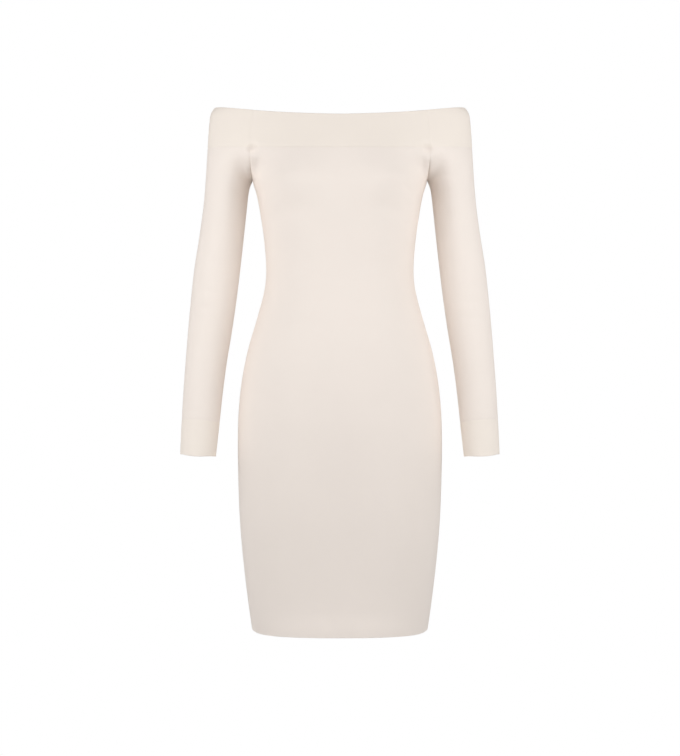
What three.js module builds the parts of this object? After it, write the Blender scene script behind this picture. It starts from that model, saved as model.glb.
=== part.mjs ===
// An off-shoulder jersey dress with long sleeves, filled out as it is worn and hollow inside.
// Millimetres, +Z up. The front faces -Y and the wearer's left is at +X.
// The origin is the middle of the neck opening, level with its edge at the centre of the front.
import * as THREE from 'three';

// Cloth
const WALL = 2.0;
const BAND_WALL = 2.6;
const BAND_PROUD = 0.3;
const SEAM_GAP = 0.3;

// Levels
const UNDERARM_Z = -98;
const HEM_Z = -836.5;
const YOKE_Z = -45;
const CUFF_SEAM_Z = -492;
const CUFF_END_Z = -549;

// Neck edge and the seam under the neckbands, each by its height at the centre and its rise to the shoulder
const NECK = { reach: 208, bend: 1.7, front: 0, back: 8, shoulder: 21 };
const BAND_SEAM = { front: -54, back: -50, shoulder: -45 };

// The neckband leans in over the shoulder along an arc
const SHOULDER_ARC = { z: 2, radius: 27, outer: 213.2 };

// The body from the neck edge to the hem. Above the underarm halfWidth is the armhole seam's.
const BODY = [
  { down: -24, halfWidth: 137.0, front: 91.5, back: 86 },
  { down: 0, halfWidth: 141.0, front: 96, back: 89.5 },
  { down: 30, halfWidth: 144.5, front: 102, back: 92.5 },
  { down: 60, halfWidth: 144.8, front: 107.5, back: 94.5 },
  { down: 98, halfWidth: 142.8, front: 111.5, back: 95.3 },
  { down: 121, halfWidth: 136.3, front: 110.5, back: 94 },
  { down: 150, halfWidth: 130.7, front: 107.5, back: 91.4 },
  { down: 195, halfWidth: 124.2, front: 101.5, back: 87.8 },
  { down: 244, halfWidth: 120.8, front: 96, back: 88 },
  { down: 277, halfWidth: 123.7, front: 97.5, back: 93 },
  { down: 326, halfWidth: 136.6, front: 104, back: 104 },
  { down: 375, halfWidth: 150.8, front: 110, back: 113 },
  { down: 424, halfWidth: 160.5, front: 112.5, back: 120 },
  { down: 474, halfWidth: 165.8, front: 111.5, back: 124 },
  { down: 523, halfWidth: 167.3, front: 108, back: 123.5 },
  { down: 588, halfWidth: 166.5, front: 102, back: 117.5 },
  { down: 650, halfWidth: 164.1, front: 96.5, back: 110 },
  { down: 711, halfWidth: 159.2, front: 91.5, back: 104 },
  { down: 785, halfWidth: 150.6, front: 87, back: 99.5 },
  { down: 836.5, halfWidth: 143.2, front: 89, back: 98 },
];

// Half the width over both sleeves, above the underarm
const YOKE = [
  { down: -2, halfWidth: 213.2 },
  { down: 14, halfWidth: 214.8 },
  { down: 50, halfWidth: 217.0 },
  { down: 98, halfWidth: 220.0 },
];

// The left sleeve's middle line and half sizes, below the underarm
const SLEEVE = [
  { down: 98, x: 181.475, y: 0, halfWidth: 38.525, halfDepth: 42 },
  { down: 113, x: 184.8, y: 0.3, halfWidth: 36.3, halfDepth: 41.2 },
  { down: 145, x: 188.4, y: 1, halfWidth: 35.8, halfDepth: 40 },
  { down: 195, x: 194.6, y: 2.5, halfWidth: 36.5, halfDepth: 39.5 },
  { down: 244, x: 201.4, y: 4, halfWidth: 37.5, halfDepth: 39.5 },
  { down: 293, x: 207.2, y: 4, halfWidth: 37.1, halfDepth: 39 },
  { down: 342, x: 212.9, y: 1, halfWidth: 35.8, halfDepth: 37 },
  { down: 391, x: 218.5, y: -5, halfWidth: 33.7, halfDepth: 34.5 },
  { down: 441, x: 223.2, y: -11, halfWidth: 32.2, halfDepth: 32 },
  { down: 490, x: 226.8, y: -18, halfWidth: 30.9, halfDepth: 29.5 },
  { down: 549, x: 230.9, y: -26, halfWidth: 28.9, halfDepth: 27 },
];
const SLEEVE_TILT_LENGTH = 150;

// Soft fullness over the bust: how far down, how far from the middle, how far out, and how it fades
const BUST = { down: 100, fromMiddle: 80, out: 9.5, valley: 0.75, side: 40, above: 46, below: 36 };

// How far a cross-section is fuller than an ellipse between its middle and its side
const BODY_FULLNESS = 0.06;
const YOKE_FULLNESS = -0.15;

// Above the underarm the armhole seam pulls the cloth round it up into the yoke
const SEAM_PULL = 20;
const CREASE_SOFTNESS = 0.12;
const CREASE_SOFT_BY = 0.5;
const EVEN_SPREAD_BY = 0.9;

// Rows and columns of the faceted walls
const BODY_COLUMNS = 22;
const SLEEVE_COLUMNS = 18;
const BAND_ROWS = [0, 0.07, 0.18, 0.36, 0.66, 1];
const YOKE_ROWS = [0, 0.3, 0.55, 0.75, 0.88, 0.965];
const BODY_DOWNS = [98, 108, 120, 132, 145, 162, 182, 205, 228, 250, 273, 298, 325, 355, 388, 425, 470,
  520, 575, 635, 695, 750, 795, -HEM_Z];
const SLEEVE_DOWNS = [98, 104, 113, 126, 146, 175, 208, 242, 276, 310, 345, 382, 420, 457];
const CUFF_ROWS = [0, 0.5, 1];

const QUARTER_TURN = Math.PI / 2;

// Millimetres to either side between which a slope is measured
const NEARBY = 1;

// A smooth line through one column of a table, read at a height
function columnOf(table, column) {
  const line = new THREE.CubicInterpolant(table.map((row) => row.down), table.map((row) => row[column]), 1);
  return (z) => line.evaluate(-z)[0];
}

const bodyHalfWidth = columnOf(BODY, 'halfWidth');
const frontDepth = columnOf(BODY, 'front');
const backDepth = columnOf(BODY, 'back');
const yokeOuter = columnOf(YOKE, 'halfWidth');
const sleeveX = columnOf(SLEEVE, 'x');
const sleeveY = columnOf(SLEEVE, 'y');
const sleeveHalfWidth = columnOf(SLEEVE, 'halfWidth');
const sleeveHalfDepth = columnOf(SLEEVE, 'halfDepth');

// The edges of the body and of the sleeve where they meet at the armhole seam
function bodyEdge(z) {
  return bodyHalfWidth(z) - SEAM_GAP / 2;
}

function sleeveEdge(z) {
  return bodyHalfWidth(z) + SEAM_GAP / 2;
}

function yokeHalfWidth(z) {
  if (z < SHOULDER_ARC.z) return yokeOuter(z);
  const up = z - SHOULDER_ARC.z;
  return SHOULDER_ARC.outer - SHOULDER_ARC.radius + Math.sqrt(SHOULDER_ARC.radius ** 2 - up ** 2);
}

// 0 at the underarm, 1 where the cloth is stretched straight from chest to arm
function yokeShare(z) {
  return THREE.MathUtils.clamp((z - UNDERARM_Z) / (YOKE_Z - UNDERARM_Z), 0, 1);
}

// Half an ellipse with its ends at -1 and 1, made fuller or flatter between its middle and its ends
function arch(offset, fullness) {
  const turn = Math.asin(THREE.MathUtils.clamp(offset, -1, 1));
  return Math.cos(turn) * (1 + fullness * Math.sin(2 * turn) ** 2);
}

// The same half ellipse with its ends drawn in, so that the crease at the armhole seam has a round bottom
function softArch(offset, fullness, softness) {
  const height = arch(offset, fullness);
  return (Math.hypot(height, softness) - softness) / (Math.hypot(1, softness) - softness);
}

function bustOut(x, z) {
  const across = Math.abs(x);
  const half = bodyEdge(z);
  if (across >= half) return 0;
  const drop = -z - BUST.down;
  const upright = Math.exp(-((drop / (drop < 0 ? BUST.above : BUST.below)) ** 2));
  const inner = 1 - BUST.valley * Math.cos(QUARTER_TURN * across / BUST.fromMiddle) ** 2;
  const outer = Math.exp(-(((across - BUST.fromMiddle) / BUST.side) ** 2));
  const level = across < BUST.fromMiddle ? inner : outer;
  return BUST.out * upright * level * arch(across / half, 0) / arch(BUST.fromMiddle / half, 0);
}

// How far the cloth lies in front of the side plane (facing -1) or behind it (facing 1)
function clothDepth(facing, x, z) {
  const across = Math.abs(x);
  const share = yokeShare(z);
  const seam = bodyHalfWidth(z);
  const middle = facing < 0 ? frontDepth(z) : backDepth(z);
  const softness = CREASE_SOFTNESS * THREE.MathUtils.smoothstep(share, 0, CREASE_SOFT_BY);
  let fitted;
  if (across <= bodyEdge(z)) {
    fitted = middle * softArch(across / bodyEdge(z), BODY_FULLNESS, softness);
  } else {
    const half = (yokeHalfWidth(z) - sleeveEdge(z)) / 2;
    fitted = sleeveHalfDepth(UNDERARM_Z) * arch((across - sleeveEdge(z) - half) / half, 0);
  }
  const straight = middle * arch(across / yokeHalfWidth(z), YOKE_FULLNESS);
  const gentle = THREE.MathUtils.smoothstep(share, 0, 1);
  const quick = Math.sqrt(share * (2 - share));
  const near = Math.exp(-(((across - seam) / SEAM_PULL) ** 2));
  const stretched = gentle + (quick - gentle) * near;
  const bust = facing < 0 ? bustOut(x, z) : 0;
  return fitted + (straight - fitted) * stretched + bust;
}

// A point of the front or back, u from -1 at its left edge to 1 at its right edge as seen from outside
function bodyPoint(facing, u, z) {
  const even = THREE.MathUtils.smoothstep(yokeShare(z), 0, EVEN_SPREAD_BY);
  const spread = (1 - even) * Math.sin(u * QUARTER_TURN) + even * u;
  const x = -facing * bodyEdge(z) * spread;
  return new THREE.Vector3(x, facing * (SEAM_GAP / 2 + clothDepth(facing, x, z)), z);
}

// A point of the left sleeve above the underarm: u is -1 at the front seam, 0 outside, 1 at the back seam
function yokeSleevePoint(u, z) {
  const inner = sleeveEdge(z);
  const even = THREE.MathUtils.smoothstep(yokeShare(z), 0, EVEN_SPREAD_BY);
  const out = Math.sin((1 - Math.abs(u)) * QUARTER_TURN) ** (2 - even);
  const x = inner + (yokeHalfWidth(z) - inner) * out;
  const facing = Math.sign(u);
  const y = facing === 0 ? 0 : facing * clothDepth(facing, x, z);
  return new THREE.Vector3(x, y, z);
}

// A point of the left sleeve below the underarm. Its rings turn square to the arm on the way down.
function sleevePoint(u, z) {
  const along = new THREE.Vector3(
    sleeveX(z - NEARBY) - sleeveX(z + NEARBY),
    sleeveY(z - NEARBY) - sleeveY(z + NEARBY),
    -2 * NEARBY,
  ).normalize();
  const tilt = THREE.MathUtils.smoothstep(UNDERARM_Z - z, 0, SLEEVE_TILT_LENGTH);
  const axis = new THREE.Vector3(0, 0, -1).lerp(along, tilt).normalize();
  const sideways = new THREE.Vector3(1, 0, 0).addScaledVector(axis, -axis.x).normalize();
  const backwards = new THREE.Vector3().crossVectors(sideways, axis);
  return new THREE.Vector3(sleeveX(z), sleeveY(z), z)
    .addScaledVector(sideways, sleeveHalfWidth(z) * Math.cos(u * Math.PI))
    .addScaledVector(backwards, sleeveHalfDepth(z) * Math.sin(u * Math.PI));
}

// The neck edge and the band seam at a distance from the middle, as heights
function riseToShoulder(centre, shoulder, across) {
  return centre + (shoulder - centre) * (Math.abs(across) / NECK.reach) ** NECK.bend;
}

function neckEdge(facing, across) {
  return riseToShoulder(facing < 0 ? NECK.front : NECK.back, NECK.shoulder, across);
}

function bandSeam(facing, across) {
  return riseToShoulder(facing < 0 ? BAND_SEAM.front : BAND_SEAM.back, BAND_SEAM.shoulder, across);
}

// Distance from the middle by which a column finds its height on those two lines
function bodyReach(u) {
  return bodyHalfWidth(0) * Math.abs(u);
}

function sleeveReach(u) {
  return bodyHalfWidth(0) + (NECK.reach - bodyHalfWidth(0)) * Math.sin((1 - Math.abs(u)) * QUARTER_TURN);
}

// One corner of the cloth: where it is and which way it faces
function corner(point, u, z, { stepU, uRange = [-1, 1], zRange = [-Infinity, Infinity] }) {
  const clampU = (value) => THREE.MathUtils.clamp(value, ...uRange);
  const clampZ = (value) => THREE.MathUtils.clamp(value, ...zRange);
  const across = point(clampU(u + stepU), z).sub(point(clampU(u - stepU), z));
  const down = point(u, clampZ(z - NEARBY)).sub(point(u, clampZ(z + NEARBY)));
  return { at: point(u, z), out: new THREE.Vector3().crossVectors(down, across).normalize() };
}

function columnsFrom(count) {
  return Array.from({ length: count + 1 }, (_, i) => -1 + (2 * i) / count);
}

// Rows of corners become a wall: an outer skin, an inner skin and a rim round every open edge
function clothWall(rows, { thickness, proud = 0, mirrored = false }) {
  const outer = [];
  const inner = [];
  const known = new Map();
  const side = mirrored ? -1 : 1;
  const numberOf = ({ at, out }) => {
    const key = at.toArray().map((value) => value.toFixed(3)).join(' ');
    if (!known.has(key)) {
      const outside = at.clone().addScaledVector(out, proud);
      const inside = at.clone().addScaledVector(out, proud - thickness);
      outer.push(side * outside.x, outside.y, outside.z);
      inner.push(side * inside.x, inside.y, inside.z);
      known.set(key, known.size);
    }
    return known.get(key);
  };
  const faces = [];
  for (let r = 0; r + 1 < rows.length; r += 1) {
    for (let c = 0; c + 1 < rows[r].length; c += 1) {
      const corners = [rows[r][c], rows[r + 1][c], rows[r + 1][c + 1], rows[r][c + 1]];
      const [a, b, d, e] = corners.map(({ at }) => at);
      const [p, q, s, t] = corners.map(numberOf);
      const halves = a.distanceTo(d) < b.distanceTo(e) ? [[p, q, s], [p, s, t]] : [[p, q, t], [q, s, t]];
      faces.push(...halves.filter((face) => new Set(face).size === 3));
    }
  }
  const count = known.size;
  const edges = new Set(faces.flatMap(([a, b, c]) => [`${a} ${b}`, `${b} ${c}`, `${c} ${a}`]));
  const index = [];
  for (const [a, b, c] of faces) {
    index.push(a, b, c, count + a, count + c, count + b);
  }
  for (const edge of edges) {
    const [a, b] = edge.split(' ').map(Number);
    if (!edges.has(`${b} ${a}`)) index.push(b, a, count + a, b, count + a, count + b);
  }
  if (mirrored) index.reverse();
  const geometry = new THREE.BufferGeometry();
  geometry.setAttribute('position', new THREE.Float32BufferAttribute([...outer, ...inner], 3));
  geometry.setIndex(index);
  geometry.computeVertexNormals();
  return geometry;
}

// Body panels: yoke rows from the band seam to the underarm, then level rows to the hem
function panelRows(facing) {
  const point = (u, z) => bodyPoint(facing, u, z);
  const columns = columnsFrom(BODY_COLUMNS);
  const options = { stepU: 1 / BODY_COLUMNS };
  const yoke = YOKE_ROWS.map((k) => columns.map((u) => {
    const top = bandSeam(facing, bodyReach(u)) - SEAM_GAP / 2;
    return corner(point, u, THREE.MathUtils.lerp(top, UNDERARM_Z, k), options);
  }));
  const skirt = BODY_DOWNS.map((down) => columns.map((u) => (
    corner(point, u, -down, { ...options, zRange: [HEM_Z, UNDERARM_Z] })
  )));
  return [...yoke, ...skirt];
}

function neckbandRows(facing) {
  const point = (u, z) => bodyPoint(facing, u, z);
  return BAND_ROWS.map((k) => columnsFrom(BODY_COLUMNS).map((u) => {
    const top = neckEdge(facing, bodyReach(u));
    const bottom = bandSeam(facing, bodyReach(u)) + SEAM_GAP / 2;
    return corner(point, u, THREE.MathUtils.lerp(top, bottom, k), { stepU: 1 / BODY_COLUMNS });
  }));
}

// A line round the sleeve eases from its height at the front seam to its height at the back seam
function roundSleeve(line, u) {
  return THREE.MathUtils.lerp(line(-1, sleeveReach(u)), line(1, sleeveReach(u)), (1 + u) / 2);
}

function sleeveRows() {
  const columns = columnsFrom(SLEEVE_COLUMNS);
  const stepU = 1 / SLEEVE_COLUMNS;
  const yoke = YOKE_ROWS.map((k) => columns.map((u) => {
    const top = roundSleeve(bandSeam, u) - SEAM_GAP / 2;
    return corner(yokeSleevePoint, u, THREE.MathUtils.lerp(top, UNDERARM_Z, k), { stepU });
  }));
  return [...yoke, ...ringRows([...SLEEVE_DOWNS, -CUFF_SEAM_Z - SEAM_GAP / 2])];
}

// Closed rings of the sleeve or cuff: the last corner of a ring is its first
function ringRows(downs) {
  const options = { stepU: 1 / SLEEVE_COLUMNS, uRange: [-2, 2], zRange: [CUFF_END_Z, UNDERARM_Z] };
  return downs.map((down) => {
    const ring = columnsFrom(SLEEVE_COLUMNS).slice(0, -1).map((u) => corner(sleevePoint, u, -down, options));
    return [...ring, ring[0]];
  });
}

function sleeveNeckbandRows() {
  return BAND_ROWS.map((k) => columnsFrom(SLEEVE_COLUMNS).map((u) => {
    const top = roundSleeve(neckEdge, u);
    const bottom = roundSleeve(bandSeam, u) + SEAM_GAP / 2;
    return corner(yokeSleevePoint, u, THREE.MathUtils.lerp(top, bottom, k), { stepU: 1 / SLEEVE_COLUMNS });
  }));
}

function cuffRows() {
  const top = -CUFF_SEAM_Z + SEAM_GAP / 2;
  return ringRows(CUFF_ROWS.map((k) => THREE.MathUtils.lerp(top, -CUFF_END_Z, k)));
}

const jersey = { thickness: WALL };
const doubled = { thickness: BAND_WALL, proud: BAND_PROUD };
const mirrored = true;

const pieces = [
  { name: 'front', rows: panelRows(-1), cloth: jersey, color: 0xeae0d8 },
  { name: 'back', rows: panelRows(1), cloth: jersey, color: 0xe8ded6 },
  { name: 'left_sleeve', rows: sleeveRows(), cloth: jersey, color: 0xefe6de },
  { name: 'right_sleeve', rows: sleeveRows(), cloth: { ...jersey, mirrored }, color: 0xefe6de },
  { name: 'front_neckband', rows: neckbandRows(-1), cloth: doubled, color: 0xeee5db },
  { name: 'back_neckband', rows: neckbandRows(1), cloth: doubled, color: 0xece3da },
  { name: 'left_sleeve_neckband', rows: sleeveNeckbandRows(), cloth: doubled, color: 0xeee5db },
  {
    name: 'right_sleeve_neckband',
    rows: sleeveNeckbandRows(),
    cloth: { ...doubled, mirrored },
    color: 0xeee5db,
  },
  { name: 'left_cuff', rows: cuffRows(), cloth: doubled, color: 0xefe6de },
  { name: 'right_cuff', rows: cuffRows(), cloth: { ...doubled, mirrored }, color: 0xefe6de },
];

const dress = new THREE.Group();
dress.name = 'off_shoulder_dress';
for (const { name, rows, cloth, color } of pieces) {
  const material = new THREE.MeshStandardMaterial({ color, roughness: 0.9, metalness: 0 });
  const piece = new THREE.Mesh(clothWall(rows, cloth), material);
  piece.name = name;
  dress.add(piece);
}

export default dress;
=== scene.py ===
# %% [markdown]
# # An off-shoulder jersey dress
#
# The dress is fine ivory jersey that clings from the bust to above the knee. Its long sleeves start under
# a doubled band that runs straight round the chest and both arms, below the shoulders. It is filled out
# as if it were worn, and it is hollow: neck, sleeves and skirt are open.
#
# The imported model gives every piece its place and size. It is loaded first and never changed. Each piece
# of cloth made here takes the place of one plain solid.

# %% Load the frame
import math

import bpy
import numpy as np
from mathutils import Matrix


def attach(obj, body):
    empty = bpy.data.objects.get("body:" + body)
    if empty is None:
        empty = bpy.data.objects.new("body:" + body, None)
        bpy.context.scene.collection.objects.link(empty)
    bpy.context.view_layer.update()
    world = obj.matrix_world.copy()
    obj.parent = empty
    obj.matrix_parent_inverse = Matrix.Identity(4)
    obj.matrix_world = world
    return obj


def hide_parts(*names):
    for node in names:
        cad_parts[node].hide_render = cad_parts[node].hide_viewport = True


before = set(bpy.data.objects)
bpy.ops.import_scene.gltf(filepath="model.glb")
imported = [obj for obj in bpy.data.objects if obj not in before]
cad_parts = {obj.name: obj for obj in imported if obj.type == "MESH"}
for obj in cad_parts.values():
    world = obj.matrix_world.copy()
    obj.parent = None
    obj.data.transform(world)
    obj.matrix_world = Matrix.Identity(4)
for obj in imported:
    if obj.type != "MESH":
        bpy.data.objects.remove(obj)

bpy.ops.object.select_all(action="DESELECT")
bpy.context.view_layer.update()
print("solids:", sorted(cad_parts))

# %% [markdown]
# ## The camera
#
# The picture is taken square on, with the lens level with the hips. A long lens from about three metres
# keeps the sleeves from spreading, so the camera stands that far off and has no shift and no blur.

# %% Camera
CAMERA_PLACE = (0.0002, -3.16, -0.4207)
PICTURE_HEIGHT_AT_DRESS = 1.23984
SENSOR = 36.0

camera_data = bpy.data.cameras.new("camera")
camera_data.sensor_width = SENSOR
camera_data.lens = SENSOR * -CAMERA_PLACE[1] / PICTURE_HEIGHT_AT_DRESS
camera = bpy.data.objects.new("camera", camera_data)
camera.location = CAMERA_PLACE
camera.rotation_euler = (math.pi / 2, 0, 0)
bpy.context.scene.collection.objects.link(camera)
bpy.context.scene.camera = camera
print(f"lens {camera_data.lens:.1f} mm")

# %% [markdown]
# ## Sizes of the cloth
#
# One layer of this jersey is about a millimetre thick. Bands and cuffs are folded double, and so are the
# hem and the narrow allowances inside each seam. Sewn pieces all but touch, and each is a closed shell.

# %% Cloth and seams
ONE_LAYER = 0.0011
TWO_LAYERS = 0.0022
BAND_PROUD = 0.00012
SEAM_GAP = 0.00006
ALLOWANCE = 0.007
HEM_TURNED_UP = 0.020

UNDERARM_Z = -0.098
HEM_Z = -0.8365
YOKE_Z = -0.045
CUFF_SEAM_Z = -0.492
CUFF_END_Z = -0.549

# %% [markdown]
# ## The form as smooth lines
#
# The cloth follows the same lines as the solids. A short table gives a few heights, each with the sizes
# there, and a smooth curve runs through each column. Reading the curve at any height gives as many rows
# of cloth as the fine surface needs, with no facets.

# %% Tables of the form
def table(names, *rows):
    """A table with named columns, one row for each section."""
    return {name: np.array(column) for name, column in zip(names, zip(*rows))}


BODY = table(
    ("down", "half_width", "front", "back"),
    (-0.024, 0.1370, 0.0915, 0.0860),
    (0.000, 0.1410, 0.0960, 0.0895),
    (0.030, 0.1445, 0.1020, 0.0925),
    (0.060, 0.1448, 0.1075, 0.0945),
    (0.098, 0.1428, 0.1115, 0.0953),
    (0.121, 0.1363, 0.1105, 0.0940),
    (0.150, 0.1307, 0.1075, 0.0914),
    (0.195, 0.1242, 0.1015, 0.0878),
    (0.244, 0.1208, 0.0960, 0.0880),
    (0.277, 0.1237, 0.0975, 0.0930),
    (0.326, 0.1366, 0.1040, 0.1040),
    (0.375, 0.1508, 0.1100, 0.1130),
    (0.424, 0.1605, 0.1125, 0.1200),
    (0.474, 0.1658, 0.1115, 0.1240),
    (0.523, 0.1673, 0.1080, 0.1235),
    (0.588, 0.1665, 0.1020, 0.1175),
    (0.650, 0.1641, 0.0965, 0.1100),
    (0.711, 0.1592, 0.0915, 0.1040),
    (0.785, 0.1506, 0.0870, 0.0995),
    (0.8365, 0.1432, 0.0890, 0.0980),
)
YOKE = table(
    ("down", "half_width"),
    (-0.002, 0.2132),
    (0.014, 0.2148),
    (0.050, 0.2170),
    (0.098, 0.2200),
)
SLEEVE = table(
    ("down", "x", "y", "half_width", "half_depth"),
    (0.098, 0.181475, 0.0000, 0.038525, 0.0420),
    (0.113, 0.1848, 0.0003, 0.0363, 0.0412),
    (0.145, 0.1884, 0.0010, 0.0358, 0.0400),
    (0.195, 0.1946, 0.0025, 0.0365, 0.0395),
    (0.244, 0.2014, 0.0040, 0.0375, 0.0395),
    (0.293, 0.2072, 0.0040, 0.0371, 0.0390),
    (0.342, 0.2129, 0.0010, 0.0358, 0.0370),
    (0.391, 0.2185, -0.0050, 0.0337, 0.0345),
    (0.441, 0.2232, -0.0110, 0.0322, 0.0320),
    (0.490, 0.2268, -0.0180, 0.0309, 0.0295),
    (0.549, 0.2309, -0.0260, 0.0289, 0.0270),
)


def smooth_line(rows, column):
    """A smooth curve through one column, read at a height z."""
    down = rows["down"]
    value = rows[column]
    step = np.diff(down)
    chord = np.diff(value) / step
    slope = np.empty_like(value)
    slope[1:-1] = (value[2:] - value[:-2]) / (down[2:] - down[:-2])
    slope[0] = (3 * chord[0] - slope[1]) / 2
    slope[-1] = (3 * chord[-1] - slope[-2]) / 2

    def read(z):
        place = np.clip(-z, down[0], down[-1])
        i = np.clip(np.searchsorted(down, place) - 1, 0, len(step) - 1)
        t = (place - down[i]) / step[i]
        near = value[i] * (1 + 2 * t) + slope[i] * step[i] * t
        far = value[i + 1] * (3 - 2 * t) - slope[i + 1] * step[i] * (1 - t)
        return near * (1 - t) ** 2 + far * t ** 2

    return read


body_half_width = smooth_line(BODY, "half_width")
front_depth = smooth_line(BODY, "front")
back_depth = smooth_line(BODY, "back")
yoke_outer = smooth_line(YOKE, "half_width")
sleeve_x = smooth_line(SLEEVE, "x")
sleeve_y = smooth_line(SLEEVE, "y")
sleeve_half_width = smooth_line(SLEEVE, "half_width")
sleeve_half_depth = smooth_line(SLEEVE, "half_depth")
print(f"waist half width {body_half_width(-0.244):.4f} m")

# %% [markdown]
# ## The form in the round
#
# Each level of the body is an ellipse made a little fuller. Above the underarm the cloth is stretched
# straight from the chest out over the arm, and the armhole seam pulls it in between. The cloth sinks
# beside that seam, most of all where the band crosses it. Two soft rises stand for the bust, and the
# front of the skirt falls away over the thighs and kicks out at the hem. A sleeve is a row of rings,
# each turned square to the arm.

# %% Form of the body and the yoke
SHOULDER_ARC = {"z": 0.002, "radius": 0.027, "outer": 0.2132}
BUST = {"down": 0.100, "from_middle": 0.080, "out": 0.0095, "valley": 0.75,
        "side": 0.040, "above": 0.046, "below": 0.036}
BODY_FULLNESS = 0.06
YOKE_FULLNESS = -0.15
SEAM_PULL = {"low": 0.009, "body": 0.010, "sleeve": 0.018, "top": -0.048}
ARMHOLE_FOLD = {"deep": 0.0012, "wide": 0.022, "top": -0.034, "below": 0.030}
BAND_DENT = {"x": 0.1400, "z": -0.0530, "front": 0.0080, "back": 0.0015, "wide": 0.0090, "tall": 0.0075}
SKIRT_FALL = {"start": -0.50, "arch": 0.10, "reach": 0.10, "lowest": -0.795, "deep": 0.0105,
              "kick": 0.0034}
CREASE_SOFTNESS = 0.12
CREASE_SOFT_BY = 0.5
EVEN_SPREAD_BY = 0.9
QUARTER_TURN = math.pi / 2
INNER_ARM = {"flat": 0.7, "ends": 0.200}


def ease(value, low, high):
    """Runs smoothly from 0 at low to 1 at high."""
    t = np.clip((value - low) / (high - low), 0, 1)
    return t * t * (3 - 2 * t)


def mix(a, b, share):
    return a + (b - a) * share


def body_edge(z):
    return body_half_width(z) - SEAM_GAP / 2


def sleeve_edge(z):
    return body_half_width(z) + SEAM_GAP / 2


def yoke_half_width(z):
    up = np.clip(z - SHOULDER_ARC["z"], 0, SHOULDER_ARC["radius"])
    radius = SHOULDER_ARC["radius"]
    leaning = SHOULDER_ARC["outer"] - radius + np.sqrt(radius ** 2 - up ** 2)
    return np.where(z < SHOULDER_ARC["z"], yoke_outer(z), leaning)


def yoke_share(z):
    """0 at the underarm, 1 where the cloth is stretched straight from chest to arm."""
    return np.clip((z - UNDERARM_Z) / (YOKE_Z - UNDERARM_Z), 0, 1)


def arch(offset, fullness):
    """Half an ellipse, made fuller or flatter between its middle and its ends."""
    turn = np.arcsin(np.clip(offset, -1, 1))
    return np.cos(turn) * (1 + fullness * np.sin(2 * turn) ** 2)


def soft_arch(offset, fullness, softness):
    """The same half ellipse with its ends drawn in, so that a crease there has a round bottom."""
    height = arch(offset, fullness)
    return (np.hypot(height, softness) - softness) / (np.hypot(1, softness) - softness)


def bust_out(x, z):
    across = np.abs(x)
    half = body_edge(z)
    drop = -z - BUST["down"]
    upright = np.exp(-((drop / np.where(drop < 0, BUST["above"], BUST["below"])) ** 2))
    inner = 1 - BUST["valley"] * np.cos(QUARTER_TURN * across / BUST["from_middle"]) ** 2
    outer = np.exp(-(((across - BUST["from_middle"]) / BUST["side"]) ** 2))
    level = np.where(across < BUST["from_middle"], inner, outer)
    rise = BUST["out"] * upright * level * arch(across / half, 0) / arch(BUST["from_middle"] / half, 0)
    return np.where(across < half, rise, 0)


def armhole_fold(facing, across, z):
    """How far the cloth sinks beside the armhole seam, most of it on the sleeve's side."""
    from_seam = across - body_half_width(z)
    wide = np.where(from_seam < 0, SEAM_PULL["body"] / 2, ARMHOLE_FOLD["wide"])
    down = ease(ARMHOLE_FOLD["top"] - z, 0, ARMHOLE_FOLD["below"]) * ease(z, UNDERARM_Z, YOKE_Z)
    fold = ARMHOLE_FOLD["deep"] * np.exp(-((from_seam / wide) ** 2)) * down
    sideways = (across - BAND_DENT["x"]) / BAND_DENT["wide"]
    upwards = (z - BAND_DENT["z"]) / BAND_DENT["tall"]
    dent = np.where(facing < 0, BAND_DENT["front"], BAND_DENT["back"])
    return fold + dent * np.exp(-(sideways ** 2 + upwards ** 2))


def seam_pull(across, z):
    """How far the armhole seam has come out of the underarm and how near the cloth is to it, 0 to 1."""
    up = np.clip((z - UNDERARM_Z) / (SEAM_PULL["top"] - UNDERARM_Z), 0, 1)
    from_seam = across - body_half_width(z)
    wide = mix(SEAM_PULL["low"], np.where(from_seam < 0, SEAM_PULL["body"], SEAM_PULL["sleeve"]), up)
    return up * (2 - up), np.exp(-((from_seam / wide) ** 2))


def skirt_fall(across, z):
    """How far the front falls away over the thighs. The fall starts higher in the middle."""
    start = SKIRT_FALL["start"] - SKIRT_FALL["arch"] * np.clip(across / SKIRT_FALL["reach"], 0, 1) ** 2
    fall = ease((start - z) / (start - SKIRT_FALL["lowest"]), 0, 1)
    kick = ease(SKIRT_FALL["lowest"] - z, 0, SKIRT_FALL["lowest"] - HEM_Z)
    return (SKIRT_FALL["deep"] * fall - SKIRT_FALL["kick"] * kick) * arch(across / body_edge(z), 0)


def cloth_depth(facing, x, z):
    """How far the cloth lies in front of the side plane (facing -1) or behind it (facing 1)."""
    across = np.abs(x)
    share = yoke_share(z)
    middle = np.where(facing < 0, front_depth(z), back_depth(z))
    softness = CREASE_SOFTNESS * ease(share, 0, CREASE_SOFT_BY)
    on_body = middle * soft_arch(across / body_edge(z), BODY_FULLNESS, softness)
    half = (yoke_half_width(z) - sleeve_edge(z)) / 2
    offset = (across - sleeve_edge(z) - half) / half
    flat = np.where(offset < 0, INNER_ARM["flat"], 0)
    on_arm = sleeve_half_depth(UNDERARM_Z) * arch(offset, 0) ** (1 + flat)
    fitted = np.where(across <= body_edge(z), on_body, on_arm)
    straight = middle * arch(across / yoke_half_width(z), YOKE_FULLNESS)
    gentle = ease(share, 0, 1)
    quick, near = seam_pull(across, z)
    pulled = fitted + (straight - fitted) * mix(gentle, quick, near)
    front_form = np.where(facing < 0, bust_out(x, z) - skirt_fall(across, z), 0)
    return pulled + front_form - armhole_fold(facing, across, z)


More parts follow.
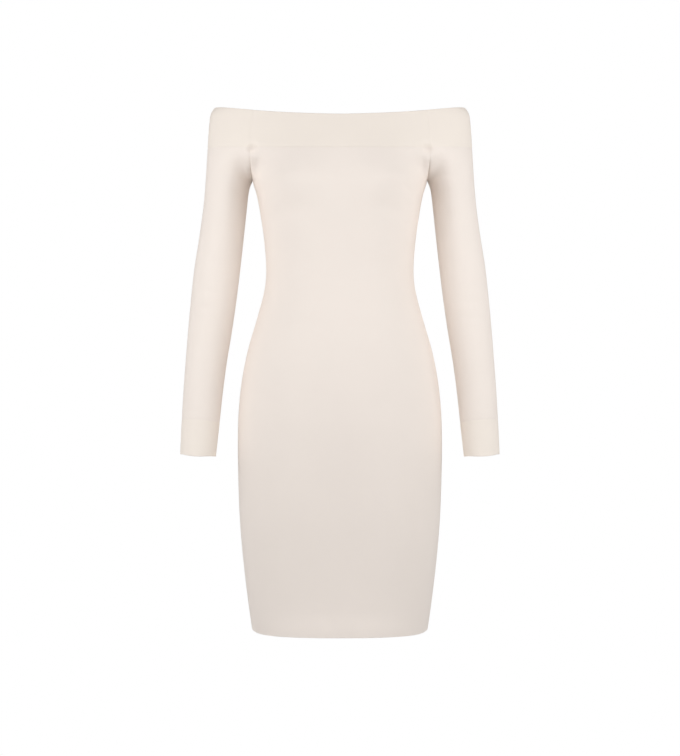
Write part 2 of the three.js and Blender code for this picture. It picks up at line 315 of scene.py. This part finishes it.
def body_point(facing, u, z):
    """A point of the front or back, u from -1 at its left edge to 1 at its right edge from outside."""
    even = ease(yoke_share(z), 0, EVEN_SPREAD_BY)
    x = -facing * body_edge(z) * mix(np.sin(u * QUARTER_TURN), u, even)
    y = facing * (SEAM_GAP / 2 + cloth_depth(facing, x, z))
    return np.stack([x, y, z], axis=-1)


print("front at the bust:", body_point(-1, np.array(0.5), np.array(UNDERARM_Z)).round(4))

# %% Form of the sleeve
SLEEVE_TILT_LENGTH = 0.150
NEARBY = 0.001


def yoke_sleeve_point(u, z):
    """The left sleeve above the underarm: u is -1 at the front seam, 0 outside, 1 at the back seam."""
    inner = sleeve_edge(z)
    even = ease(yoke_share(z), 0, EVEN_SPREAD_BY)
    out = np.sin((1 - np.abs(u)) * QUARTER_TURN) ** (2 - even)
    x = inner + (yoke_half_width(z) - inner) * out
    facing = np.sign(u)
    return np.stack([x, facing * cloth_depth(facing, x, z), z], axis=-1)


def unit(vectors):
    return vectors / np.linalg.norm(vectors, axis=-1, keepdims=True)


def sleeve_point(u, z):
    """The left sleeve below the underarm. Its rings turn square to the arm on the way down."""
    low = np.stack([sleeve_x(z - NEARBY), sleeve_y(z - NEARBY), z - NEARBY], axis=-1)
    high = np.stack([sleeve_x(z + NEARBY), sleeve_y(z + NEARBY), z + NEARBY], axis=-1)
    tilt = ease(UNDERARM_Z - z, 0, SLEEVE_TILT_LENGTH)[..., None]
    axis = unit(mix(np.array([0.0, 0.0, -1.0]), unit(low - high), tilt))
    right = np.array([1.0, 0.0, 0.0])
    sideways = unit(right - axis * axis[..., :1])
    backwards = np.cross(sideways, axis)
    middle = np.stack([sleeve_x(z), sleeve_y(z), z], axis=-1)
    depth = np.sin(u * math.pi)
    flat = INNER_ARM["flat"] * (1 - ease(UNDERARM_Z - z, 0, INNER_ARM["ends"]))
    depth = depth * np.where(np.abs(u) > 0.5, np.abs(depth), 1) ** flat
    return (middle + sideways * (np.cos(u * math.pi) * sleeve_half_width(z))[..., None]
            + backwards * (depth * sleeve_half_depth(z))[..., None])


print("outside of the left elbow:", sleeve_point(np.array(0.0), np.array(-0.293)).round(4))

# %% Neck edge, the seam under the band, the hem and the cuffs' ends
NECK = {"reach": 0.208, "bend": 1.7, "front": 0.0, "back": 0.008, "shoulder": 0.021}
BAND_SEAM = {"front": -0.054, "back": -0.050, "shoulder": -0.045}
HEM_DRAWN_UP = {"high": 0.0046, "power": 18}
CUFF_RISES_BACK = 0.0046


def rise_to_shoulder(line, facing, across):
    centre = line["front"] if facing < 0 else line["back"]
    return centre + (line["shoulder"] - centre) * (np.abs(across) / NECK["reach"]) ** NECK["bend"]


def body_reach(u):
    return body_half_width(0.0) * np.abs(u)


def sleeve_reach(u):
    half = body_half_width(0.0)
    return half + (NECK["reach"] - half) * np.sin((1 - np.abs(u)) * QUARTER_TURN)


def round_sleeve(line, u):
    """A line round the sleeve, from its height at the front seam to its height at the back seam."""
    reach = sleeve_reach(u)
    return mix(rise_to_shoulder(line, -1, reach), rise_to_shoulder(line, 1, reach), (1 + u) / 2)


def hem_line(u):
    """The hem is level, and each side seam draws it up a little."""
    return HEM_Z + HEM_DRAWN_UP["high"] * np.abs(np.sin(u * QUARTER_TURN)) ** HEM_DRAWN_UP["power"]


def cuff_end(u):
    """The end of the cuff is lowest in front, over the back of the hand."""
    return CUFF_END_Z + CUFF_RISES_BACK * (1 + np.sin(u * math.pi)) / 2


print(f"neck edge at the shoulder {round_sleeve(NECK, np.array(0.0)):.4f} m")

# %% [markdown]
# ## From a flat cut to a formed piece
#
# A maker starts each piece as a flat cut of cloth. So does this script: a grid is added, and its rows and
# columns are laid on the form. Columns crowd towards the seams, where the cloth turns in.

# %% Lay a flat grid on the form
SIDES = {"lines": 0.05, "width": 0.016}
YOKE_START = {"lines": 0.20, "width": 0.08}
SLEEVE_END = {"lines": 0.04, "width": 0.010}
BAND_END = {"lines": 0.20, "width": 0.08}
EVEN = {"lines": 0.1, "width": 0.1}


def crowd(t, start=EVEN, end=EVEN):
    """Moves evenly spaced lines from 0 to 1 closer together near one end or both."""
    return np.interp(
        t,
        [0, start["lines"], 1 - end["lines"], 1],
        [0, start["width"], 1 - end["width"], 1],
    )


def columns_of(across):
    return 2 * crowd(across, SIDES, SIDES) - 1


def panel_points(facing, yoke_rows):
    def place(across, down):
        u = columns_of(across)
        top = rise_to_shoulder(BAND_SEAM, facing, body_reach(u)) - SEAM_GAP / 2
        in_yoke = crowd(np.clip(down / yoke_rows, 0, 1), start=YOKE_START)
        below = np.clip((down - yoke_rows) / (1 - yoke_rows), 0, 1)
        z = np.where(down < yoke_rows, mix(top, UNDERARM_Z, in_yoke), mix(UNDERARM_Z, hem_line(u), below))
        return body_point(facing, u, z)

    return place


def band_points(facing):
    def place(across, down):
        u = columns_of(across)
        top = rise_to_shoulder(NECK, facing, body_reach(u))
        bottom = rise_to_shoulder(BAND_SEAM, facing, body_reach(u)) + SEAM_GAP / 2
        return body_point(facing, u, mix(top, bottom, crowd(down, end=BAND_END)))

    return place


def sleeve_points(yoke_rows):
    def place(across, down):
        u = columns_of(across)
        top = round_sleeve(BAND_SEAM, u) - SEAM_GAP / 2
        in_yoke = crowd(np.clip(down / yoke_rows, 0, 1), start=YOKE_START)
        below = crowd(np.clip((down - yoke_rows) / (1 - yoke_rows), 0, 1), end=SLEEVE_END)
        yoke = yoke_sleeve_point(u, mix(top, UNDERARM_Z, in_yoke))
        arm = sleeve_point(u, mix(UNDERARM_Z, CUFF_SEAM_Z + SEAM_GAP / 2, below))
        return np.where((down < yoke_rows)[..., None], yoke, arm)

    return place


def sleeve_band_points(across, down):
    u = columns_of(across)
    top = round_sleeve(NECK, u)
    bottom = round_sleeve(BAND_SEAM, u) + SEAM_GAP / 2
    return yoke_sleeve_point(u, mix(top, bottom, crowd(down, end=BAND_END)))


def cuff_points(across, down):
    u = columns_of(across)
    top = CUFF_SEAM_Z - SEAM_GAP / 2
    return sleeve_point(u, mix(top, cuff_end(u), crowd(down, start=BAND_END)))


print("crowded columns:", columns_of(np.linspace(0, 1, 5)).round(3))

# %% [markdown]
# ## Cloth near a seam
#
# Where two pieces are sewn, each rolls in over the last few millimetres, never quite evenly. The cloth
# between is drawn into soft troughs by the arm, the waist and the seat. Each trough is placed one by one,
# with its own length, width and depth. They are faint, because the jersey is smooth and well filled.

# %% Rolls and creases
SEAM_ROLL = {"depth": 0.00018, "width": 0.0020}
UNEVEN = {"share": 0.28, "slow": 74.0, "slow_share": 0.6, "quick": 182.0, "quick_share": 0.4, "apart": 2.3}


def uneven(along, phase):
    """Slow and quick waves added, so that no two stretches of a seam are alike."""
    slow = UNEVEN["slow_share"] * np.sin(UNEVEN["slow"] * along + phase)
    quick = UNEVEN["quick_share"] * np.sin(UNEVEN["quick"] * along + UNEVEN["apart"] * phase)
    return 1 + UNEVEN["share"] * (slow + quick)


def roll_in(distance, along, phase):
    """How far the cloth sinks at a distance from a seam."""
    return -SEAM_ROLL["depth"] * np.exp(-((distance / SEAM_ROLL["width"]) ** 2)) * uneven(along, phase)


def crease(across, z, place, turn, length, width, rise, bend=0.0):
    """One soft trough or ridge. Its place is metres across from the middle line and a height."""
    dx, dz = across - place[0], z - place[1]
    along = dx * math.cos(turn) + dz * math.sin(turn)
    side = -dx * math.sin(turn) + dz * math.cos(turn) + bend * along ** 2
    fade = np.clip(1 - (2 * along / length) ** 2, 0, 1) ** 2
    return rise * fade * np.exp(-((side / width) ** 2))


def outward(points):
    """The direction that each point of the cloth faces, from its neighbours in the grid."""
    right = np.gradient(points, axis=1)
    down = np.gradient(points, axis=0)
    return unit(np.cross(down, right))


def lengths(points, axis):
    """The length of cloth from the grid's first line to each line."""
    steps = np.linalg.norm(np.diff(points, axis=axis), axis=-1)
    start = np.zeros_like(np.take(steps, [0], axis=axis))
    return np.concatenate([start, np.cumsum(steps, axis=axis)], axis=axis)


# %% [markdown]
# ## Making one piece
#
# The helper below does what a hand would do for every piece: add the flat grid, lay it on the form, weld
# the sleeve shut, give it the thickness of the cloth, close the armhole seam and round the folded edge.
# Thickness grows inwards, so the outside stays on the form of the solid. The UV map is in metres of
# cloth, so the knit follows the cut.

# %% Helpers that make a piece
WELD = 0.00002
FOLD_SEGMENTS = 4
FOLD_SHARE = 0.46
SHARP = math.radians(40)


def add_grid(name, columns, rows):
    """A flat cut of cloth, 2 by 2, with the column and row of each vertex."""
    bpy.ops.object.select_all(action="DESELECT")
    bpy.ops.mesh.primitive_grid_add(x_subdivisions=columns, y_subdivisions=rows, size=2)
    piece = bpy.context.object
    piece.name = name
    piece.data.name = name
    flat = np.empty(len(piece.data.vertices) * 3)
    piece.data.vertices.foreach_get("co", flat)
    flat = flat.reshape(-1, 3)
    column = np.rint((flat[:, 0] + 1) / 2 * columns).astype(int)
    row = np.rint((1 - flat[:, 1]) / 2 * rows).astype(int)
    return piece, column, row


def write_points(piece, points):
    piece.data.vertices.foreach_set("co", points.ravel())
    piece.data.update()


def write_uv(piece, across, down):
    """Stores each point's place on the flat cloth, in metres."""
    corner = np.empty(len(piece.data.loops), dtype=np.int32)
    piece.data.loops.foreach_get("vertex_index", corner)
    uv = np.stack([across[corner], down[corner]], axis=-1)
    piece.data.uv_layers.active.data.foreach_set("uv", uv.ravel())


def apply_modifier(piece, kind, **settings):
    modifier = piece.modifiers.new(kind.title(), kind)
    for setting, value in settings.items():
        setattr(modifier, setting, value)
    bpy.ops.object.modifier_apply(modifier=modifier.name)


def select_group(piece, name):
    bpy.ops.mesh.select_mode(type="VERT")
    bpy.ops.mesh.select_all(action="DESELECT")
    piece.vertex_groups.active_index = piece.vertex_groups[name].index
    bpy.ops.object.vertex_group_select()


def add_group(piece, name, chosen):
    group = piece.vertex_groups.new(name=name)
    group.add(np.flatnonzero(chosen).tolist(), 1.0, "REPLACE")


def give_thickness(piece, single):
    """Grows the cloth inwards: two layers in the group doubled, and single times as much elsewhere."""
    apply_modifier(piece, "SOLIDIFY", thickness=TWO_LAYERS, offset=-1, use_even_offset=True,
                   vertex_group="doubled", thickness_vertex_group=single)


def close_seam(piece):
    """Sets the inner edge of the armhole seam straight behind the outer edge, to meet its neighbour."""
    seam = piece.vertex_groups["seam"].index
    vertices = piece.data.vertices
    layer = len(vertices) // 2
    for outer, inner in zip(vertices[:layer], vertices[layer:]):
        if any(each.group == seam for each in outer.groups):
            inner.co.x = outer.co.x


def round_fold(piece):
    """Rounds both edges of the rim at the open edge, where the cloth is folded."""
    bpy.ops.object.mode_set(mode="EDIT")
    select_group(piece, "fold")
    bpy.ops.mesh.region_to_loop()
    bpy.ops.mesh.bevel(offset=FOLD_SHARE * TWO_LAYERS, segments=FOLD_SEGMENTS, clamp_overlap=True)
    bpy.ops.object.mode_set(mode="OBJECT")


def make_piece(name, place, grid, relief, fold, single=ONE_LAYER / TWO_LAYERS, allowances=(), closed=False,
               mirrored=False):
    """A shell of cloth laid on the form by place, with relief raised along its own direction."""
    columns, rows = grid
    piece, column, row = add_grid(name, columns, rows)
    down, across = np.meshgrid(np.linspace(0, 1, rows + 1), np.linspace(0, 1, columns + 1), indexing="ij")
    points = place(across, down)
    facing = outward(points)
    sideways, along = lengths(points, 1), lengths(points, 0)
    height = relief(sideways, along, points)
    if closed:
        tube = points[:, 0, 2] <= UNDERARM_Z + WELD
        ends = [0, -1]
        facing[np.ix_(tube, ends)] = unit(facing[tube][:, ends].sum(axis=1))[:, None]
        height[np.ix_(tube, ends)] = height[tube][:, ends].mean(axis=1, keepdims=True)
    armhole = np.ix_(points[:, 0, 2] > UNDERARM_Z + WELD, [0, -1], [0])
    seam_x = points[armhole]
    points = points + facing * height[..., None]
    points[armhole] = seam_x
    if mirrored:
        points = points * np.array([-1.0, 1.0, 1.0])
    write_points(piece, points[row, column])
    middle = sideways - sideways[:, columns // 2, None]
    write_uv(piece, middle[row, column], along[row, column])

    from_edge = {
        "top": along, "bottom": along[-1:] - along, "left": sideways, "right": sideways[:, -1:] - sideways,
    }
    doubled = np.zeros(points.shape[:2], dtype=bool)
    for side, width in allowances:
        doubled |= from_edge[side] < width
    add_group(piece, "doubled", doubled[row, column])
    add_group(piece, "fold", row == (0 if fold == "top" else rows))
    side = (column == 0) | (column == columns)
    add_group(piece, "seam", side & (points[row, column, 2] > UNDERARM_Z + WELD))

    if closed or mirrored:
        bpy.ops.object.mode_set(mode="EDIT")
        bpy.ops.mesh.select_all(action="SELECT")
        if closed:
            bpy.ops.mesh.remove_doubles(threshold=WELD)
        if mirrored:
            bpy.ops.mesh.flip_normals()
        bpy.ops.object.mode_set(mode="OBJECT")
    give_thickness(piece, single)
    close_seam(piece)
    if fold:
        round_fold(piece)
    piece.vertex_groups.clear()
    bpy.ops.object.shade_smooth_by_angle(angle=SHARP)
    faces = sum(len(p.vertices) - 2 for p in piece.data.polygons)
    area = sum(p.area for p in piece.data.polygons) / 2
    print(f"{name}: {faces} triangles, {area:.4f} m2 of cloth")
    return piece


# %% [markdown]
# ## Front and back
#
# The front and the back are one cut each, from the band to the hem, joined down both sides. The front is
# drawn a little at the underarms and under the bust, dips softly between the thighs towards the hem and
# stands in two faint ripples there. The back is drawn in at the small of the back.

# %% Front
PANEL_GRID = (140, 250)
PANEL_YOKE_ROWS = 0.10


def panel_relief(creases, phase):
    def relief(sideways, along, points):
        z = points[..., 2]
        middle = sideways - sideways[:, sideways.shape[1] // 2, None]
        width = sideways[:, -1:]
        height = roll_in(sideways, z, phase) + roll_in(width - sideways, z, phase + 1)
        height = height + roll_in(along, middle, phase + 2)
        for each in creases:
            height = height + crease(middle, z, *each)
        return height

    return relief


FRONT_CREASES = [
    ((-0.118, -0.112), 0.60, 0.070, 0.006, -0.0007, 1.5),
    ((-0.126, -0.135), 0.25, 0.055, 0.005, -0.0005, 0.0),
    ((0.120, -0.116), -0.55, 0.062, 0.006, -0.0006, -1.2),
    ((0.128, -0.143), -0.20, 0.048, 0.005, -0.0005, 0.0),
    ((-0.052, -0.262), 0.12, 0.110, 0.010, -0.0004, 0.5),
    ((0.060, -0.240), -0.10, 0.120, 0.011, -0.0004, -0.4),
    ((0.020, -0.292), 0.05, 0.100, 0.010, 0.0003, 0.3),
    ((-0.090, -0.154), 0.16, 0.120, 0.018, -0.0030, 0.6),
    ((0.088, -0.153), -0.14, 0.110, 0.018, -0.0026, -0.5),
    ((0.000, -0.660), math.pi / 2, 0.300, 0.030, -0.0014, 0.0),
    ((-0.028, -0.840), math.pi / 2, 0.090, 0.013, 0.0016, 0.0),
    ((0.033, -0.842), math.pi / 2, 0.085, 0.012, 0.0016, 0.0),
]
PANEL_ALLOWANCES = (("top", ALLOWANCE), ("left", ALLOWANCE), ("right", ALLOWANCE), ("bottom", HEM_TURNED_UP))
front = make_piece(
    "front_jersey", panel_points(-1, PANEL_YOKE_ROWS), PANEL_GRID, panel_relief(FRONT_CREASES, 0.4),
    fold="bottom", allowances=PANEL_ALLOWANCES,
)

# %% Back
BACK_CREASES = [
    ((-0.116, -0.110), 0.55, 0.065, 0.006, -0.0007, 1.3),
    ((-0.124, -0.138), 0.22, 0.050, 0.005, -0.0005, 0.0),
    ((0.121, -0.113), -0.60, 0.070, 0.006, -0.0007, -1.4),
    ((0.127, -0.140), -0.28, 0.052, 0.005, -0.0005, 0.0),
    ((-0.020, -0.228), 0.06, 0.150, 0.010, -0.0007, 0.9),
    ((0.024, -0.252), -0.05, 0.170, 0.011, -0.0008, 0.8),
    ((-0.008, -0.281), 0.03, 0.140, 0.010, -0.0006, 0.7),
    ((0.000, -0.600), math.pi / 2, 0.300, 0.034, -0.0014, 0.0),
    ((-0.040, -0.815), math.pi / 2, 0.065, 0.014, 0.0006, 0.0),
    ((0.046, -0.818), math.pi / 2, 0.060, 0.013, 0.0006, 0.0),
]
back = make_piece(
    "back_jersey", panel_points(1, PANEL_YOKE_ROWS), PANEL_GRID, panel_relief(BACK_CREASES, 2.1),
    fold="bottom", allowances=PANEL_ALLOWANCES,
)

# %% [markdown]
# ## Sleeves
#
# A sleeve is one cut with a seam along the underside of the arm. Above the underarm it opens out and is
# sewn to the front and the back. The arm bends a little at the elbow and gathers faint folds inside it.

# %% Sleeves
SLEEVE_GRID = (84, 150)
SLEEVE_YOKE_ROWS = 0.17
LEFT_SLEEVE_CREASES = [
    ((-0.094, -0.128), 0.75, 0.060, 0.006, -0.0008, 1.0),
    ((-0.080, -0.158), 0.55, 0.050, 0.006, -0.0006, 0.6),
    ((0.092, -0.130), -0.70, 0.058, 0.006, -0.0008, -0.9),
    ((-0.058, -0.272), 0.25, 0.060, 0.007, -0.0006, 1.0),
    ((-0.050, -0.296), 0.10, 0.070, 0.007, -0.0008, 0.9),
    ((-0.054, -0.322), -0.12, 0.056, 0.006, -0.0006, 0.5),
    ((0.030, -0.455), 0.30, 0.045, 0.006, -0.0004, 0.0),
    ((-0.034, -0.470), -0.20, 0.050, 0.006, -0.0004, 0.0),
]
RIGHT_SLEEVE_CREASES = [
    ((-0.090, -0.124), 0.70, 0.064, 0.006, -0.0008, 0.8),
    ((-0.084, -0.166), 0.50, 0.044, 0.006, -0.0005, 0.7),
    ((0.090, -0.134), -0.66, 0.052, 0.006, -0.0007, -0.8),
    ((-0.055, -0.280), 0.18, 0.064, 0.007, -0.0007, 1.1),
    ((-0.052, -0.306), 0.02, 0.066, 0.007, -0.0008, 0.8),
    ((0.036, -0.448), 0.24, 0.050, 0.006, -0.0004, 0.0),
    ((-0.030, -0.476), -0.26, 0.044, 0.006, -0.0004, 0.0),
]


def sleeve_relief(creases, phase):
    def relief(sideways, along, points):
        z = points[..., 2]
        height = panel_relief(creases, phase)(sideways, along, points)
        return height + roll_in(along[-1:] - along, sideways, phase + 3)

    return relief


SLEEVE_ALLOWANCES = tuple((side, ALLOWANCE) for side in ("top", "bottom", "left", "right"))
sleeves = [
    make_piece(f"{side}_sleeve_jersey", sleeve_points(SLEEVE_YOKE_ROWS), SLEEVE_GRID,
               sleeve_relief(creases, phase), fold=None, allowances=SLEEVE_ALLOWANCES, closed=True,
               mirrored=side == "right")
    for side, creases, phase in (("left", LEFT_SLEEVE_CREASES, 1.2), ("right", RIGHT_SLEEVE_CREASES, 3.3))
]

# %% [markdown]
# ## Bands and cuffs
#
# The neck is finished with a band folded double, its fold upwards, cut in four lengths that meet above
# the armhole seams. The cuffs are doubled in the same way. Two layers lie a touch prouder than one.

# %% Bands and cuffs
BAND_GRID = (140, 30)
SLEEVE_BAND_GRID = (84, 30)
CUFF_GRID = (84, 26)


def band_relief(phase):
    def relief(sideways, along, points):
        height = BAND_PROUD + roll_in(along[-1:] - along, sideways, phase)
        height = height + roll_in(sideways, along, phase + 1)
        return height + roll_in(sideways[:, -1:] - sideways, along, phase + 2)

    return relief


def cuff_relief(phase):
    def relief(sideways, along, points):
        return BAND_PROUD + roll_in(along, sideways, phase)

    return relief


bands = [
    make_piece(f"{side}_neckband_jersey", band_points(facing), BAND_GRID, band_relief(phase),
               fold="top", single=1.0)
    for side, facing, phase in (("front", -1, 0.9), ("back", 1, 2.6))
]
sleeve_bands = [
    make_piece(f"{side}_sleeve_neckband_jersey", sleeve_band_points, SLEEVE_BAND_GRID, band_relief(phase),
               fold="top", single=1.0, mirrored=side == "right")
    for side, phase in (("left", 1.7), ("right", 4.1))
]
cuffs = [
    make_piece(f"{side}_cuff_jersey", cuff_points, CUFF_GRID, cuff_relief(phase), fold="bottom",
               single=1.0, closed=True, mirrored=side == "right")
    for side, phase in (("left", 0.2), ("right", 5.0))
]

# %% [markdown]
# ## The knit
#
# Jersey is a fabric of small V-shaped stitches in upright columns. They are under a millimetre wide, so
# they are bump and painted shade, a little darker in the valleys and lighter on the loops, read from the
# UV map in metres. A soft sheen stands for the fine fibres, and broad, faint clouds keep the colour from
# being flat.

# %% Material
JERSEY_COLOUR = (0.862, 0.785, 0.725, 1.0)
BAND_COLOUR = (0.870, 0.795, 0.722, 1.0)
# The stitch's shade is the painted shade of its valleys, as a share of the colour.
STITCH = {"width": 0.0009, "height": 0.0007, "loop": 0.35, "shade": 0.012}


def math_node(tree, operation, first, second=None):
    """Adds a Math node. Its inputs are sockets or numbers."""
    node = tree.nodes.new("ShaderNodeMath")
    node.operation = operation
    for socket, value in zip(node.inputs, (first, second)):
        if value is None:
            continue
        if isinstance(value, (int, float)):
            socket.default_value = value
        else:
            tree.links.new(value, socket)
    return node.outputs[0]


def stitches(tree):
    """The height of the knit: columns of V-shaped loops."""
    uv = tree.nodes.new("ShaderNodeUVMap")
    parts = tree.nodes.new("ShaderNodeSeparateXYZ")
    tree.links.new(uv.outputs[0], parts.inputs[0])
    column = math_node(tree, "DIVIDE", parts.outputs[0], STITCH["width"])
    course = math_node(tree, "DIVIDE", parts.outputs[1], STITCH["height"])
    centred = math_node(tree, "SUBTRACT", math_node(tree, "FRACT", column), 0.5)
    from_middle = math_node(tree, "ABSOLUTE", centred)
    slanted = math_node(tree, "ADD", course, from_middle)
    loops = math_node(tree, "SINE", math_node(tree, "MULTIPLY", slanted, 2 * math.pi))
    rounded = math_node(tree, "SINE", math_node(tree, "MULTIPLY", from_middle, 2 * math.pi))
    return math_node(tree, "ADD", math_node(tree, "MULTIPLY", loops, STITCH["loop"]), rounded)


def jersey(name, colour):
    material = bpy.data.materials.new(name)
    material.use_nodes = True
    tree = material.node_tree
    shader = tree.nodes["Principled BSDF"]
    shader.inputs["Roughness"].default_value = 0.88
    shader.inputs["Specular IOR Level"].default_value = 0.25
    shader.inputs["Sheen Weight"].default_value = 0.12
    shader.inputs["Sheen Roughness"].default_value = 0.45
    height = stitches(tree)

    position = tree.nodes.new("ShaderNodeTexCoord").outputs["Object"]
    clouds = tree.nodes.new("ShaderNodeTexNoise")
    clouds.inputs["Scale"].default_value = 14
    clouds.inputs["Detail"].default_value = 3
    tree.links.new(position, clouds.inputs["Vector"])
    shade = tree.nodes.new("ShaderNodeMapRange")
    shade.inputs["To Min"].default_value = 0.985
    shade.inputs["To Max"].default_value = 1.015
    tree.links.new(clouds.outputs["Fac"], shade.inputs["Value"])
    # Painted shade: the knit's valleys are painted a little darker and the loops' tops a little lighter.
    valley = math_node(tree, "MULTIPLY", height, STITCH["shade"])
    tone_and_painted_shade = math_node(tree, "ADD", shade.outputs[0], valley)
    tint = tree.nodes.new("ShaderNodeVectorMath")
    tint.operation = "SCALE"
    tint.inputs[0].default_value = colour[:3]
    tree.links.new(tone_and_painted_shade, tint.inputs["Scale"])
    tree.links.new(tint.outputs[0], shader.inputs["Base Color"])

    bump = tree.nodes.new("ShaderNodeBump")
    bump.inputs["Strength"].default_value = 0.5
    bump.inputs["Distance"].default_value = 0.00006
    tree.links.new(height, bump.inputs["Height"])
    tree.links.new(bump.outputs[0], shader.inputs["Normal"])
    print("material:", name)
    return material


single_jersey = jersey("ivory_jersey", JERSEY_COLOUR)
doubled_jersey = jersey("ivory_jersey_doubled", BAND_COLOUR)
for piece in (front, back, *sleeves):
    piece.data.materials.append(single_jersey)
for piece in (*bands, *sleeve_bands, *cuffs):
    piece.data.materials.append(doubled_jersey)

# %% [markdown]
# ## What each piece stands for
#
# Every piece rides on the dress's one body and takes the place of its solid. A table lists each cut's width,
# length and area, which nothing reads.

CUTS = {
    "front": (0.44, 0.79, 0.3000),
    "back": (0.44, 0.79, 0.3020),
    "left_sleeve": (0.31, 0.46, 0.0955),
    "right_sleeve": (0.31, 0.46, 0.0955),
    "front_neckband": (0.30, 0.058, None),
    "back_neckband": (0.30, 0.058, None),
    "left_sleeve_neckband": (0.20, 0.062, None),
    "right_sleeve_neckband": (0.20, 0.062, None),
    "left_cuff": (0.18, 0.054, None),
    "right_cuff": (0.18, 0.054, None),
}
for node, (width, length, area) in CUTS.items():
    piece = bpy.data.objects[f"{node}_jersey"]
    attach(piece, "root")
    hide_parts(node)
print("declared:", len(CUTS), "pieces")

# %% [markdown]
# ## Floor and light
#
# The floor is a wide pale plane, as far below the neck as the wearer's feet would be. Two big soft
# lights stand left and right in front, level with the neck, and two weaker ones at the sides fill the
# cloth's edges. One more stands high behind. All are aimed just below the waist, and the white room does
# the rest.

# %% Floor
FLOOR_Z = -1.345
FLOOR_RADIUS = 1.4

bpy.ops.object.select_all(action="DESELECT")
bpy.ops.mesh.primitive_circle_add(
    vertices=128, radius=FLOOR_RADIUS, fill_type="NGON", location=(0, 0, FLOOR_Z),
)
floor = bpy.context.object
floor.name = "floor"
paint = bpy.data.materials.new("pale_floor")
paint.use_nodes = True
paint.node_tree.nodes["Principled BSDF"].inputs["Base Color"].default_value = (0.96, 0.96, 0.96, 1)
paint.node_tree.nodes["Principled BSDF"].inputs["Roughness"].default_value = 0.9
floor.data.materials.append(paint)

# %% Lights
ROOM = {"seen": 1.0, "light": 0.115}
LIGHTS = [
    # name, bearings from straight ahead in degrees, distance, height, size, watts, spread in degrees
    ("front_box", (-47, 47), 1.5, 0.0, 1.2, 10.85, 150),
    ("side_box", (-85, 85), 1.5, 0.0, 1.2, 3.4, 180),
    ("back_box", (180,), 2.6, 1.2, 1.6, 68.0, 180),
]
AIM = (0.0, 0.0, -0.285)

world = bpy.data.worlds.new("white_room")
bpy.context.scene.world = world
world.use_nodes = True
room = world.node_tree
background = room.nodes["Background"]
background.inputs["Color"].default_value = (1, 1, 1, 1)
ray = room.nodes.new("ShaderNodeLightPath")
strength = room.nodes.new("ShaderNodeMapRange")
strength.inputs["To Min"].default_value = ROOM["light"]
strength.inputs["To Max"].default_value = ROOM["seen"]
room.links.new(ray.outputs["Is Camera Ray"], strength.inputs["Value"])
room.links.new(strength.outputs[0], background.inputs["Strength"])

for name, bearings, distance, height, size, watts, spread in LIGHTS:
    for bearing in bearings:
        data = bpy.data.lights.new(name, "AREA")
        data.shape = "DISK"
        data.size = size
        data.energy = watts
        data.spread = math.radians(spread)
        lamp = bpy.data.objects.new(name, data)
        turn = math.radians(bearing)
        lamp.location = (distance * math.sin(turn), -distance * math.cos(turn), height)
        aim = [a - p for a, p in zip(AIM, lamp.location)]
        level = math.hypot(aim[0], aim[1])
        lamp.rotation_euler = (math.atan2(level, -aim[2]), 0, math.atan2(-aim[0], aim[1]))
        bpy.context.scene.collection.objects.link(lamp)
bpy.context.scene.view_settings.view_transform = "Standard"
print("lights:", sum(len(row[1]) for row in LIGHTS))
